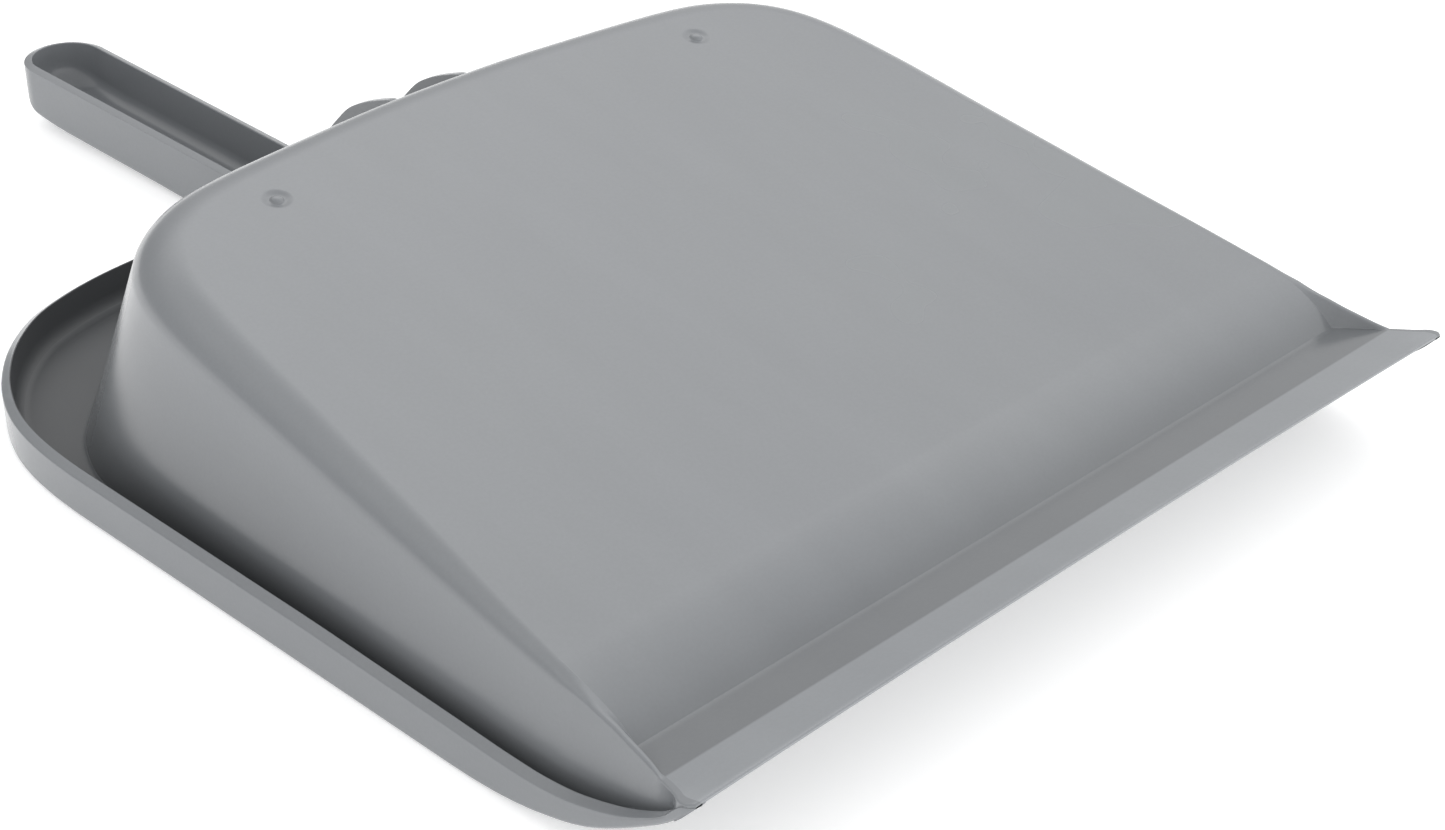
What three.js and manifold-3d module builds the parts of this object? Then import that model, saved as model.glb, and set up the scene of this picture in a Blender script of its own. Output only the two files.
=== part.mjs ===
// One-piece moulded dustpan, lying face down on its rolled rim with the pan floor on top.
// Millimetres, +Z up. The plane x = 0 is the plane of symmetry, the lip points to -Y and the
// handle to +Y. The origin is on the resting plane, at the middle of the overall box.
// The moulding is divided at its own features: tub, lip, two cheeks, rolled rim, handle,
// two spine ribs and two floor studs. A gap of 0.3 mm separates neighbouring bodies.
import * as THREE from 'three';
import { mergeVertices } from 'three/addons/utils/BufferGeometryUtils.js';
import Module from 'manifold-3d';

const wasm = await Module();
wasm.setup();

// ---------------------------------------------------------------- driving dimensions
const LENGTH = 515.0;          // lip edge to handle end
const HALF_WIDTH = 160.0;      // half of the overall width
const GAP = 0.3;               // clearance between neighbouring bodies
const WALL = 2.5;              // tub wall and floor
const FLANGE = 2.8;            // gutter floor
const SKIRT = 3.0;             // rim skirt and handle wall
const FLOOR_Y = 45.0;          // reference line of the tilted pan floor
const FLOOR_Z = 40.0;
const FLOOR_SLOPE = 0.2045;    // 11.6 degrees
const TUB_FRONT = 58.0;        // where the tub hands over to the bend and lip
const CREASE_Y = 30.9;         // crease between bend and lip
const CREASE_Z = 30.1;
const LIP_Z = 36.0;            // lip edge height
const BEND_C = [39.7, 38.92];  // corner of the bend's control polygon
const LIP_EDGE = 1.4;          // lip thickness at its edge
const STUD_X = 86.4, STUD_Y = 246.0;
const CRATER_R = 5.2, CRATER_DEPTH = 0.55;
const STUD_R = 2.3, STUD_H = 0.85;
const HANDLE_START = 360.7;
const HANDLE_END_Y = 499.0;    // centre of the round end
const HANDLE_HALF = 15.5;      // half width where it leaves the rim
const HANDLE_FLARE = 0.00335;  // growth of the half width per millimetre
const RIB_X = [13.0, 16.0];    // inner and outer faces of the spine ribs

// Matching stations of the right half, from the rear centre to the front:
// tub apex (floor plane meets wall), wall base, and the rim's outer contour.
const APEX = [[0, 272.0], [24, 271.6], [48, 270.2], [72, 268.6], [91, 267.2], [105.8, 265.1], [117.6, 260.9],
  [127.2, 254.8], [134.4, 246.6], [139, 236.8], [141.7, 225.6], [143.3, 212], [144.5, 194.5], [145.7, 168],
  [147.2, 140], [148.9, 110], [150.4, 84], [151.4, TUB_FRONT]];
const BASE = [[0, 346], [22, 345.9], [43, 345], [62, 342.8], [78, 338.5], [92, 331.3], [104, 322.3],
  [116.5, 310], [127.5, 298.6], [136.5, 288.5], [142.8, 277.5], [147.3, 265], [150, 247], [151.4, 215],
  [152.2, 175], [152.6, 135], [152.8, 95], [152.9, TUB_FRONT]];
const OUTER = [[0, 360.4], [22, 360.3], [43, 359.9], [64, 359], [83, 357.2], [100, 353.4], [116, 346.9],
  [131.2, 335.0], [143.2, 320.3], [151.1, 306], [156, 292], [158.8, 276], [160, 255], [160, 217],
  [160, 175], [160, 135], [160, 95], [160, TUB_FRONT]];
// Set-back of the shoulder's rounding from the apex, at the same stations.
const SETBACK = [8.9, 8.9, 9.0, 9.5, 10.4, 11.6, 12.6, 13.2, 13.4, 13.2, 12.8, 12.2, 11.2, 10, 8.8, 7.8, 6.6, 5.6];

// Heights along the front of the rim: [y, bottom, gutter floor, inner top edge, outer parting line]
const FRONT = [[85, 0, 2.8, 14.1, 12.4], [78, 0.2, 3.0, 13.9, 12.2], [68, 1.0, 3.8, 13.7, 12.0],
  [TUB_FRONT, 2.6, 5.3, 13.8, 12.2], [50, 4.5, 7.1, 14.4, 12.9], [43, 6.5, 9.0, 15.4, 14.0],
  [36, 9.2, 11.6, 17.1, 15.8], [30, 12.3, 14.6, 18.9, 17.7], [23, 16.4, 18.5, 21.4, 20.4],
  [16.5, 20.6, 22.5, 24.4, 23.7], [11, 24.4, 26.1, 27.5, 27.0], [8, 26.6, 28.5, 29.8, 29.3],
  [5.5, 28.5, 31.7, 32.7, 32.2], [3, 30.8, 34.9, 35.2, 34.8], [0, 34.4, LIP_Z, LIP_Z, 35.6]];
// Outer face of the cheeks along the front: [y, x]
const CHEEK_X = [[TUB_FRONT, 152.9], [45, 153.1], [35, 153.5], [25, 154.2], [15, 155.0], [8, 155.3], [0, 155.5]];

// ---------------------------------------------------------------- small helpers
const floorZ = y => FLOOR_Z + FLOOR_SLOPE * (y - FLOOR_Y);
const lipZ = y => CREASE_Z + (CREASE_Y - y) * (LIP_Z - CREASE_Z) / CREASE_Y;

function spline(pts, sub) {                      // Catmull-Rom through rows of numbers
  const out = [];
  const n = pts.length;
  for (let i = 0; i < n - 1; i++) {
    const p0 = pts[Math.max(i - 1, 0)], p1 = pts[i], p2 = pts[i + 1], p3 = pts[Math.min(i + 2, n - 1)];
    for (let k = 0; k < sub; k++) {
      const t = k / sub;
      out.push(p1.map((_, c) => 0.5 * (2 * p1[c] + (p2[c] - p0[c]) * t
        + (2 * p0[c] - 5 * p1[c] + 4 * p2[c] - p3[c]) * t * t
        + (3 * p1[c] - p0[c] - 3 * p2[c] + p3[c]) * t * t * t)));
    }
  }
  out.push(pts[n - 1].slice());
  return out;
}

function table(rows, y) {                        // linear look-up in rows sorted by falling y
  if (y >= rows[0][0]) return rows[0];
  for (let i = 0; i < rows.length - 1; i++) {
    const a = rows[i], b = rows[i + 1];
    if (y >= b[0]) { const t = (a[0] - y) / (a[0] - b[0]); return a.map((v, c) => v + (b[c] - v) * t); }
  }
  return rows[rows.length - 1];
}

function mirrored(half) {                        // front left - rear centre - front right
  return [...half.slice(1).reverse().map(p => [-p[0], ...p.slice(1)]), ...half];
}

function normals2(path) {                        // outward unit normals of a plan path
  return path.map((p, i) => {
    const a = path[Math.max(i - 1, 0)], b = path[Math.min(i + 1, path.length - 1)];
    const tx = b[0] - a[0], ty = b[1] - a[1], l = Math.hypot(tx, ty);
    return [-ty / l, tx / l];
  });
}

class Body {
  constructor() { this.v = []; this.f = []; }
  add(p) { this.v.push(p[0], p[1], p[2]); return this.v.length / 3 - 1; }
  tri(a, b, c) { if (a !== b && b !== c && a !== c) this.f.push(a, b, c); }
  quad(a, b, c, d) { this.tri(a, b, c); this.tri(a, c, d); }
  geometry() {
    let g = new THREE.BufferGeometry();
    g.setAttribute('position', new THREE.Float32BufferAttribute(this.v, 3));
    g.setIndex(this.f);
    return outward(g);
  }
}

function outward(g) {                            // flips a closed surface that faces inward
  const p = g.attributes.position, ix = g.index.array;
  const a = new THREE.Vector3(), b = new THREE.Vector3(), c = new THREE.Vector3();
  let vol = 0;
  for (let i = 0; i < ix.length; i += 3) {
    a.fromBufferAttribute(p, ix[i]); b.fromBufferAttribute(p, ix[i + 1]); c.fromBufferAttribute(p, ix[i + 2]);
    vol += a.dot(b.clone().cross(c));
  }
  if (vol < 0) for (let i = 0; i < ix.length; i += 3) { const t = ix[i]; ix[i] = ix[i + 1]; ix[i + 1] = t; }
  return g;
}

// Shell with a U-shaped wall: rows run along the path, row[0] lies on the floor's edge and the
// last point on the free edge. Row i and its mirror image bound a strip of the floor.
function shell(outer, inner) {
  const b = new Body(), n = outer.length, m = outer[0].length, last = n - 1;
  const O = outer.map(r => r.map(p => b.add(p))), I = inner.map(r => r.map(p => b.add(p)));
  for (let i = 0; i < last; i++) {
    for (let j = 0; j < m - 1; j++) {
      b.quad(O[i][j], O[i + 1][j], O[i + 1][j + 1], O[i][j + 1]);
      b.quad(I[i][j + 1], I[i + 1][j + 1], I[i + 1][j], I[i][j]);
    }
    b.quad(O[i][m - 1], O[i + 1][m - 1], I[i + 1][m - 1], I[i][m - 1]);
  }
  const mid = last / 2;
  for (let i = 0; i < mid; i++) {
    b.quad(O[i][0], O[last - i][0], O[last - i - 1][0], O[i + 1][0]);
    b.quad(I[i + 1][0], I[last - i - 1][0], I[last - i][0], I[i][0]);
  }
  for (let j = 0; j < m - 1; j++) {
    b.quad(O[0][j], O[0][j + 1], I[0][j + 1], I[0][j]);
    b.quad(O[last][j + 1], O[last][j], I[last][j], I[last][j + 1]);
  }
  b.quad(O[last][0], O[0][0], I[0][0], I[last][0]);
  return b.geometry();
}

// Closed section swept along a path. A section is a ring of 3-D points; the ends are closed by
// pairing the ring's points from both sides of its first one.
function sweep(sections) {
  const b = new Body(), m = sections[0].length;
  const S = sections.map(r => r.map(p => b.add(p)));
  for (let i = 0; i < S.length - 1; i++) {
    for (let j = 0; j < m; j++) {
      const k = (j + 1) % m;
      b.quad(S[i][j], S[i + 1][j], S[i + 1][k], S[i][k]);
    }
  }
  const cap = (r, flip) => {
    let lo = 0, hi = m - 1;
    const t = (x, y, z) => flip ? b.tri(x, z, y) : b.tri(x, y, z);
    while (hi - lo > 1) {
      t(r[lo], r[lo + 1], r[hi]);
      if (hi - lo > 2) t(r[lo + 1], r[hi - 1], r[hi]);
      lo++; hi--;
    }
  };
  cap(S[0], false);
  cap(S[S.length - 1], true);
  return b.geometry();
}

function plate(outline, x0, x1) {                // plate parallel to the plane of symmetry
  const s = new THREE.Shape(outline.map(p => new THREE.Vector2(p[0], p[1])));
  const g = new THREE.ExtrudeGeometry(s, { depth: Math.abs(x1 - x0), bevelEnabled: false });
  g.rotateX(Math.PI / 2); g.rotateZ(Math.PI / 2);
  return g.translate(Math.min(x0, x1), 0, 0);
}

function solid(g) {
  g = g.clone();
  g.deleteAttribute('normal'); g.deleteAttribute('uv');
  g = mergeVertices(g, 1e-4);
  return new wasm.Manifold(new wasm.Mesh({
    numProp: 3,
    vertProperties: new Float32Array(g.attributes.position.array),
    triVerts: new Uint32Array(g.index.array),
  }));
}

function geometryOf(man) {
  const m = man.getMesh();
  const g = new THREE.BufferGeometry();
  g.setAttribute('position', new THREE.BufferAttribute(new Float32Array(m.vertProperties), 3));
  g.setIndex(new THREE.BufferAttribute(new Uint32Array(m.triVerts), 1));
  return g;
}

// ---------------------------------------------------------------- tub
function stations(sub) {
  const rows = APEX.map((a, i) => [a[0], a[1], BASE[i][0], BASE[i][1], OUTER[i][0], OUTER[i][1], SETBACK[i]]);
  return spline(rows, sub);
}

function tubRows(sub, arc) {
  const half = stations(sub);
  const full = [...half.slice(1).reverse().map(r => [-r[0], r[1], -r[2], r[3], -r[4], r[5], r[6]]), ...half];
  const nA = normals2(full.map(r => [r[0], r[1]])), nB = normals2(full.map(r => [r[2], r[3]]));
  const outer = [], inner = [];
  full.forEach((r, i) => {
    const zb = table(FRONT, r[3])[1];
    const na = nA[i].map(v => -v), nb = nB[i].map(v => -v);      // inward
    if (i === 0 || i === full.length - 1) { na[0] = -Math.sign(r[0]); na[1] = 0; nb[0] = na[0]; nb[1] = 0; }
    for (const side of [0, 1]) {
      const a = [r[0], r[1], floorZ(r[1])], b = [r[2], r[3], zb];
      if (side) {
        const h = a[2] - b[2];
        const run = (b[0] - a[0]) * -nb[0] + (b[1] - a[1]) * -nb[1];
        const m = run / h, t = WALL * Math.sqrt(1 + m * m), s = t - WALL * m;
        a[0] += na[0] * s; a[1] += na[1] * s; a[2] = floorZ(a[1]) - WALL * 1.02;
        b[0] += nb[0] * t; b[1] += nb[1] * t;
      }
      const d = Math.max(r[6] - (side ? 1.6 : 0), 2);
      const into = [na[0], na[1], na[1] * FLOOR_SLOPE];
      const li = Math.hypot(...into);
      const t0 = [0, 1, 2].map(c => a[c] + into[c] / li * d);
      const down = [0, 1, 2].map(c => b[c] - a[c]), ld = Math.hypot(...down);
      const w0 = [0, 1, 2].map(c => a[c] + down[c] / ld * d);
      const cosT = -(into[0] * down[0] + into[1] * down[1] + into[2] * down[2]) / li / ld;
      const w = Math.sqrt((1 + cosT) / 2);
      const row = [];
      for (let k = 0; k <= arc; k++) {
        const t = k / arc, c0 = (1 - t) * (1 - t), c1 = 2 * t * (1 - t) * w, c2 = t * t, s = c0 + c1 + c2;
        row.push([0, 1, 2].map(c => (c0 * t0[c] + c1 * a[c] + c2 * w0[c]) / s));
      }
      row.push([0, 1, 2].map(c => (w0[c] + b[c]) / 2));
      row.push(b);
      (side ? inner : outer).push(row);
    }
  });
  return [outer, inner];
}

const floorTilt = Math.atan(FLOOR_SLOPE);
function onFloor(g, x, y, lift) {                // stands a +Z geometry on the tilted floor
  g.rotateX(floorTilt);
  return g.translate(x, y - lift * Math.sin(floorTilt), floorZ(y) + lift * Math.cos(floorTilt));
}

function craterTool(x) {
  const pts = [[0, -CRATER_DEPTH], [CRATER_R * 0.7, -CRATER_DEPTH], [CRATER_R * 0.9, -CRATER_DEPTH * 0.6],
    [CRATER_R, 0], [CRATER_R, 2], [0, 2]].map(p => new THREE.Vector2(p[0], p[1]));
  const g = new THREE.LatheGeometry(pts, 28);
  g.rotateX(Math.PI / 2);
  return onFloor(g, x, STUD_Y, 0);
}

function stud(x) {
  const pts = [[0, 0], [STUD_R, 0], [STUD_R, 0.5]];
  for (let k = 1; k <= 5; k++) { const a = k / 5 * Math.PI / 2; pts.push([k === 5 ? 0 : STUD_R * Math.cos(a), 0.5 + (STUD_H - 0.5) * Math.sin(a)]); }
  const g = new THREE.LatheGeometry(pts.map(p => new THREE.Vector2(p[0], p[1])), 20);
  g.rotateX(Math.PI / 2);
  return onFloor(g, x, STUD_Y, GAP - CRATER_DEPTH);
}

function tub() {
  const [outer, inner] = tubRows(2, 4);
  const body = solid(shell(outer, inner)).subtract(solid(craterTool(STUD_X))).subtract(solid(craterTool(-STUD_X)));
  return geometryOf(body);
}

// ---------------------------------------------------------------- bend and lip
// Top profile from the tub's front edge over the bend to the crease, then the flat lip.
function frontProfile() {
  const p0 = [TUB_FRONT - GAP, floorZ(TUB_FRONT - GAP)], rows = [];
  for (let k = 0; k <= 8; k++) {
    const t = k / 8, u = 1 - t;
    rows.push([u * u * p0[0] + 2 * u * t * BEND_C[0] + t * t * CREASE_Y,
      u * u * p0[1] + 2 * u * t * BEND_C[1] + t * t * CREASE_Z]);
  }
  for (const y of [24, 15.5, 8, 3, 0]) rows.push([y, lipZ(y)]);
  return rows;
}

const edgeX = y => y >= CREASE_Y ? 147.3 + (y - CREASE_Y) * 0.045 : y >= 16 ? 147.3 + (CREASE_Y - y) * 0.39 : 153.1;

function frontLip() {
  const rows = frontProfile(), n = rows.length, cols = 8;
  const under = rows.map((p, i) => {
    const a = rows[Math.max(i - 1, 0)], b = rows[Math.min(i + 1, n - 1)];
    const dy = b[0] - a[0], dz = b[1] - a[1], l = Math.hypot(dy, dz);
    const t = p[0] < 15.5 ? LIP_EDGE + (WALL - LIP_EDGE) * p[0] / 15.5 : WALL;
    return i === 0 ? [p[0], p[1] - t * 1.02] : i === n - 1 ? [p[0], p[1] - t] : [p[0] - dz / l * -t * -1, p[1] - Math.abs(dy) / l * t];
  });
  const b = new Body();
  const bow = (x, y) => y < 12 ? 1.3 * (1 - (x / 149.6) ** 2) * (1 - y / 12) : 0;
  const grid = (prof) => prof.map((p, i) => {
    const w = edgeX(rows[i][0]);
    return Array.from({ length: cols + 1 }, (_, c) => { const x = -w + 2 * w * c / cols; return b.add([x, p[0] + bow(x, rows[i][0]), p[1]]); });
  });
  const T = grid(rows), U = grid(under);
  for (let i = 0; i < n - 1; i++) {
    for (let c = 0; c < cols; c++) {
      b.quad(T[i][c], T[i + 1][c], T[i + 1][c + 1], T[i][c + 1]);
      b.quad(U[i][c + 1], U[i + 1][c + 1], U[i + 1][c], U[i][c]);
    }
    b.quad(T[i + 1][0], T[i][0], U[i][0], U[i + 1][0]);
    b.quad(T[i][cols], T[i + 1][cols], U[i + 1][cols], U[i][cols]);
  }
  for (let c = 0; c < cols; c++) {
    b.quad(T[0][c], T[0][c + 1], U[0][c + 1], U[0][c]);
    b.quad(T[n - 1][c + 1], T[n - 1][c], U[n - 1][c], U[n - 1][c + 1]);
  }
  return b.geometry();
}

// ---------------------------------------------------------------- cheeks
// The side walls' continuation forward of the tub: a wall whose top is the ridge that closes
// the end of the valley. Rows: [y, ridge height, ridge outer x, ridge inner x, valley x, valley z]
const CHEEK = [
  [TUB_FRONT - GAP, 41.2, 150.3, 148.9, 148.8, 39.4], [51.5, 39.8, 151.0, 149.0, 148.5, 38.0],
  [45.1, 38.6, 151.4, 149.2, 148.2, 36.0], [40, 37.7, 151.7, 149.8, 148.0, 34.0],
  [34.6, 36.9, 151.9, 150.1, 147.8, 31.4], [30.9, 36.0, 152.4, 150.6, 147.7, 29.2],
  [25.4, 35.0, 153.1, 151.4, 149.8, 30.0], [21.4, 34.3, 153.7, 152.1, 151.4, 30.8],
  [18.7, 33.8, 154.2, 152.8, 152.4, 31.4], [15, 33.3, 154.4, 153.5, 153.4, 32.0],
  [8, 34.5, 154.7, 153.5, 153.4, 33.0], [3.5, 35.3, 154.9, 153.5, 153.4, 33.8]];

function cheek(sign) {
  const secs = CHEEK.map(([y, zr, xo, xi, xv, zv]) => {
    const zb = table(FRONT, y)[1], bx = table(CHEEK_X, y)[1];
    const ring = [[bx, zb], [xo + 0.5, zr - 0.9], [xo, zr], [xi, zr - 0.05], [xv, zv], [Math.min(bx - WALL, xv + 0.9), zb]];
    return ring.map(p => [sign * p[0], y, p[1]]);
  });
  return sweep(secs);
}

// ---------------------------------------------------------------- rolled rim
function rimSections(sub) {
  const half = stations(sub).map(r => [r[4], r[5], r[2], r[3]]);
  const ys = [54, 50, 46.5, 43, 39.5, 36, 33, 30, 26.5, 23, 19.5, 16.5, 13.5, 11, 8, 5.5, 3.4, 1.6, 0];
  for (const r of half) r[0] = Math.min(r[0], HALF_WIDTH);
  const corner = y => HALF_WIDTH - 0.16 * Math.max(3.4 - y, 0) ** 2;
  for (const y of ys) half.push([corner(y), y, table(CHEEK_X, y)[1], y]);
  const full = mirrored(half).map((r, i, all) => i < (all.length - 1) / 2 ? [r[0], r[1], -r[2], r[3]] : r);
  const nO = normals2(full.map(r => [r[0], r[1]]));
  return full.map((r, i) => {
    const n = nO[i].map(v => -v);
    const y = r[1];
    let [, zb, zg, zt, zp] = table(FRONT, y);
    if (y > 85) {                                  // the skirt rises to meet the handle
      const k = Math.min(Math.max((62 - Math.abs(r[0])) / 46, 0), 1);
      zt = 14.1 + 1.1 * Math.min((y - 85) / 60, 1) + (y > 300 ? 5.0 * k * k * (3 - 2 * k) : 0);
      zp = zt - 1.7 + (y > 300 ? 0.4 * k : 0);
    }
    const q = (d, z) => [r[0] + n[0] * d, y + n[1] * d, z];
    const rf = Math.min(1.4, (zp - zb) * 0.6), ri = Math.max(Math.min(3, (zt - zg) * 0.6), 0.05);
    const bx = r[2] + (r[2] === 0 ? 0 : Math.sign(r[2]) * 0), out = [-(r[2] - r[0]), -(r[3] - r[1])];
    const lo = Math.hypot(...out);
    const base = [bx + out[0] / lo * GAP, r[3] + out[1] / lo * GAP];
    return [[base[0], base[1], zb], q(rf, zb), q(rf * 0.3, zb + rf * 0.3), q(0, zb + rf), q(0, zp),
      q(SKIRT, zt), q(SKIRT + 0.25, zg + ri), q(SKIRT + 0.25 + ri * 0.3, zg + ri * 0.3), q(SKIRT + 0.25 + ri * 0.85, zg), [base[0], base[1], zg]];
  });
}

function rim() {
  const mouth = new THREE.BoxGeometry(2 * (HANDLE_HALF - SKIRT), 14, 30).translate(0, 358, FLANGE + 15);
  return geometryOf(solid(sweep(rimSections(2))).subtract(solid(mouth)));
}

// ---------------------------------------------------------------- handle
function handle() {
  const half = [];                                // right half from the round end to the rim
  const hw = y => HANDLE_HALF + HANDLE_FLARE * (y - 350);
  const R = hw(HANDLE_END_Y);
  for (let k = 0; k <= 6; k++) { const a = Math.PI / 2 - k / 6 * Math.PI / 2; half.push([R * Math.cos(a), HANDLE_END_Y + R * Math.sin(a), Math.sin(a)]); }
  for (const y of [490, 475, 455, 430, 405, 380, HANDLE_START]) half.push([hw(y), y, 0]);
  const full = mirrored(half), n = normals2(full.map(p => [p[0], p[1]]));
  n[0] = [-1, 0]; n[n.length - 1] = [1, 0];
  const under = y => y < 380 ? 0.05 : y < 421 ? 0.05 + (y - 380) / 41 * 1.6
    : 1.65 + (y - 421) / 79 * 2.2 + Math.max(y - 478, 0) ** 2 * 0.0028;
  const top = y => 20.5 + (y - 350) * 0.0255;
  const outer = [], inner = [];
  full.forEach(([x, y, e], i) => {
    const q = (d, z) => [x - n[i][0] * d, y - n[i][1] * d, z];
    const s = 0.5 * e * e + 0.5 * e, zu = under(Math.min(y, HANDLE_END_Y)), zt = top(y), zp = zt - 0.8;
    const f = 2 + 11 * s, g = 2 + 7 * s, h = Math.min(4.5 + 8 * s, R - 5.2), w = 4.5 + 6 * s;
    outer.push([q(f, zu), q(f * 0.58, zu + g * 0.1), q(f * 0.2, zu + g * 0.38), q(f * 0.03, zu + g), q(0, zp)]);
    inner.push([q(h + 3.2, zu + FLANGE), q(h * 0.62 + 3.1, zu + FLANGE + w * 0.12), q(h * 0.26 + 3, zu + FLANGE + w * 0.42), q(h * 0.07 + 3, zu + FLANGE + w), q(SKIRT, zt)]);
  });
  return shell(outer, inner);
}

// ---------------------------------------------------------------- spine ribs
function rib(sign) {
  const outline = [[278.4, 79.3], [280.7, 79.2], [283, 78.7], [288, 77.0], [294, 74.6], [300, 71.6], [305, 68.1],
    [312, 61.2], [350, 20.8], [356.6, 20.4], [356.6, 6.2], [355.8, 4.4], [353.9, FLANGE + GAP + 0.1],
    [346.9, FLANGE + GAP], [276.9, 80.0]];
  const a = [271.9, floorZ(271.9)], b = [345.96, 0];
  const d = [b[0] - a[0], b[1] - a[1]], l = Math.hypot(...d), nx = -d[1] / l, nz = d[0] / l;
  const at = z => a[0] + (a[1] - z) / (a[1] - b[1]) * (b[0] - a[0]);
  outline[13] = [at(FLANGE + GAP) + 0.65, FLANGE + GAP];
  outline[14] = [at(77.6) + nx * 0.4, 77.6 + nz * 0.4];
  return plate(outline, sign * RIB_X[0], sign * RIB_X[1]);
}

// ---------------------------------------------------------------- assembly
const plastic = (color, roughness) => new THREE.MeshStandardMaterial({ color, roughness, metalness: 0 });
const GREY = 0x8b8e91;
const pan = new THREE.Group();
pan.name = 'dustpan';
function add(name, geometry, roughness = 0.32) {
  const mesh = new THREE.Mesh(geometry, plastic(GREY, roughness));
  mesh.name = name;
  pan.add(mesh);
}
add('pan_tub', tub());
add('front_lip', frontLip());
add('cheek_left', cheek(-1));
add('cheek_right', cheek(1));
add('rolled_rim', rim());
add('handle', handle());
add('spine_rib_left', rib(-1));
add('spine_rib_right', rib(1));
add('floor_stud_left', stud(-STUD_X), 0.28);
add('floor_stud_right', stud(STUD_X), 0.28);
pan.position.y = -LENGTH / 2;

export default pan;
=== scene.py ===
import math

import bmesh
import bpy
import numpy as np
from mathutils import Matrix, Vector


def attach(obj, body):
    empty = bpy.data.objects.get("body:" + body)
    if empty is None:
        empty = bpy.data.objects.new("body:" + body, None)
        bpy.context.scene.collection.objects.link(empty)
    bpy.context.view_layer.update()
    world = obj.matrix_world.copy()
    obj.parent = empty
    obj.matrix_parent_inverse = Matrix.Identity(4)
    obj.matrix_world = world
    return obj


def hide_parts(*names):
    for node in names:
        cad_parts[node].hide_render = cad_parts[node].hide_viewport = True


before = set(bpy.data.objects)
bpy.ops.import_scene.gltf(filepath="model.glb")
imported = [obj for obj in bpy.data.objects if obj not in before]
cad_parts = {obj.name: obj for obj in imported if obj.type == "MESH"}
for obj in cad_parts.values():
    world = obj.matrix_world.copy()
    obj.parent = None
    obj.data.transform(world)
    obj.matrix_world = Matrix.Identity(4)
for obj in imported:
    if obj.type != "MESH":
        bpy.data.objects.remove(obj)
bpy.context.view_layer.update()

# All shapes are worked out in millimetres, y counted from the lip edge, and placed in the row
# frame (metres, origin at the middle of the box) when the mesh is made.
LENGTH = 515.0
HALF_WIDTH = 160.0
WALL, SKIRT = 2.5, 3.0
FLOOR_Y, FLOOR_Z, FLOOR_SLOPE = 45.0, 40.0, 0.2045
TUB_FRONT = 58.0
CREASE_Y, CREASE_Z, LIP_Z = 30.9, 30.1, 36.0
BEND_C = (39.7, 38.92)
LIP_EDGE = 1.4
STUD_X, STUD_Y, CRATER_R, CRATER_DEPTH = 86.4, 246.0, 5.2, 0.55
HANDLE_END_Y, HANDLE_HALF, HANDLE_FLARE = 499.0, 15.5, 0.00335

APEX = [[0, 272.0], [24, 271.6], [48, 270.2], [72, 268.6], [91, 267.2], [105.8, 265.1], [117.6, 260.9],
        [127.2, 254.8], [134.4, 246.6], [139, 236.8], [141.7, 225.6], [143.3, 212], [144.5, 194.5], [145.7, 168],
        [147.2, 140], [148.9, 110], [150.4, 84], [151.4, TUB_FRONT]]
BASE = [[0, 346], [22, 345.9], [43, 345], [62, 342.8], [78, 338.5], [92, 331.3], [104, 322.3],
        [116.5, 310], [127.5, 298.6], [136.5, 288.5], [142.8, 277.5], [147.3, 265], [150, 247], [151.4, 215],
        [152.2, 175], [152.6, 135], [152.8, 95], [152.9, TUB_FRONT]]
OUTER = [[0, 360.4], [22, 360.3], [43, 359.9], [64, 359], [83, 357.2], [100, 353.4], [116, 346.9],
         [131.2, 335.0], [143.2, 320.3], [151.1, 306], [156, 292], [158.8, 276], [160, 255], [160, 217],
         [160, 175], [160, 135], [160, 95], [160, TUB_FRONT]]
SETBACK = [8.9, 8.9, 9.0, 9.5, 10.4, 11.6, 12.6, 13.2, 13.4, 13.2, 12.8, 12.2, 11.2, 10, 8.6, 7.2, 5.6, 4.0]

# [y, bottom, gutter floor, inner top edge, outer parting line]
FRONT = [[85, 0, 2.8, 14.1, 12.4], [78, 0.2, 3.0, 13.9, 12.2], [68, 1.0, 3.8, 13.7, 12.0],
         [58, 2.6, 5.3, 13.8, 12.2], [50, 4.5, 7.1, 14.4, 12.9], [43, 6.5, 9.0, 15.4, 14.0],
         [36, 9.2, 11.6, 17.1, 15.8], [30, 12.3, 14.6, 18.9, 17.7], [23, 16.4, 18.5, 21.4, 20.4],
         [16.5, 20.6, 22.5, 24.4, 23.7], [11, 24.4, 26.1, 27.5, 27.0], [8, 26.7, 28.7, 29.9, 29.4],
         [5.5, 28.8, 31.8, 32.7, 32.3], [3, 31.2, 34.4, 34.8, 34.5], [0, 34.6, 35.1, 35.2, 35.0]]
CHEEK_X = [[58, 152.9], [45, 153.1], [35, 153.5], [25, 154.2], [15, 155.0], [9.5, 155.3], [7.5, 157.2], [5.5, 159.6],
           [3.4, 159.9], [1.8, 159.45], [0, 158.05]]
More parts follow.
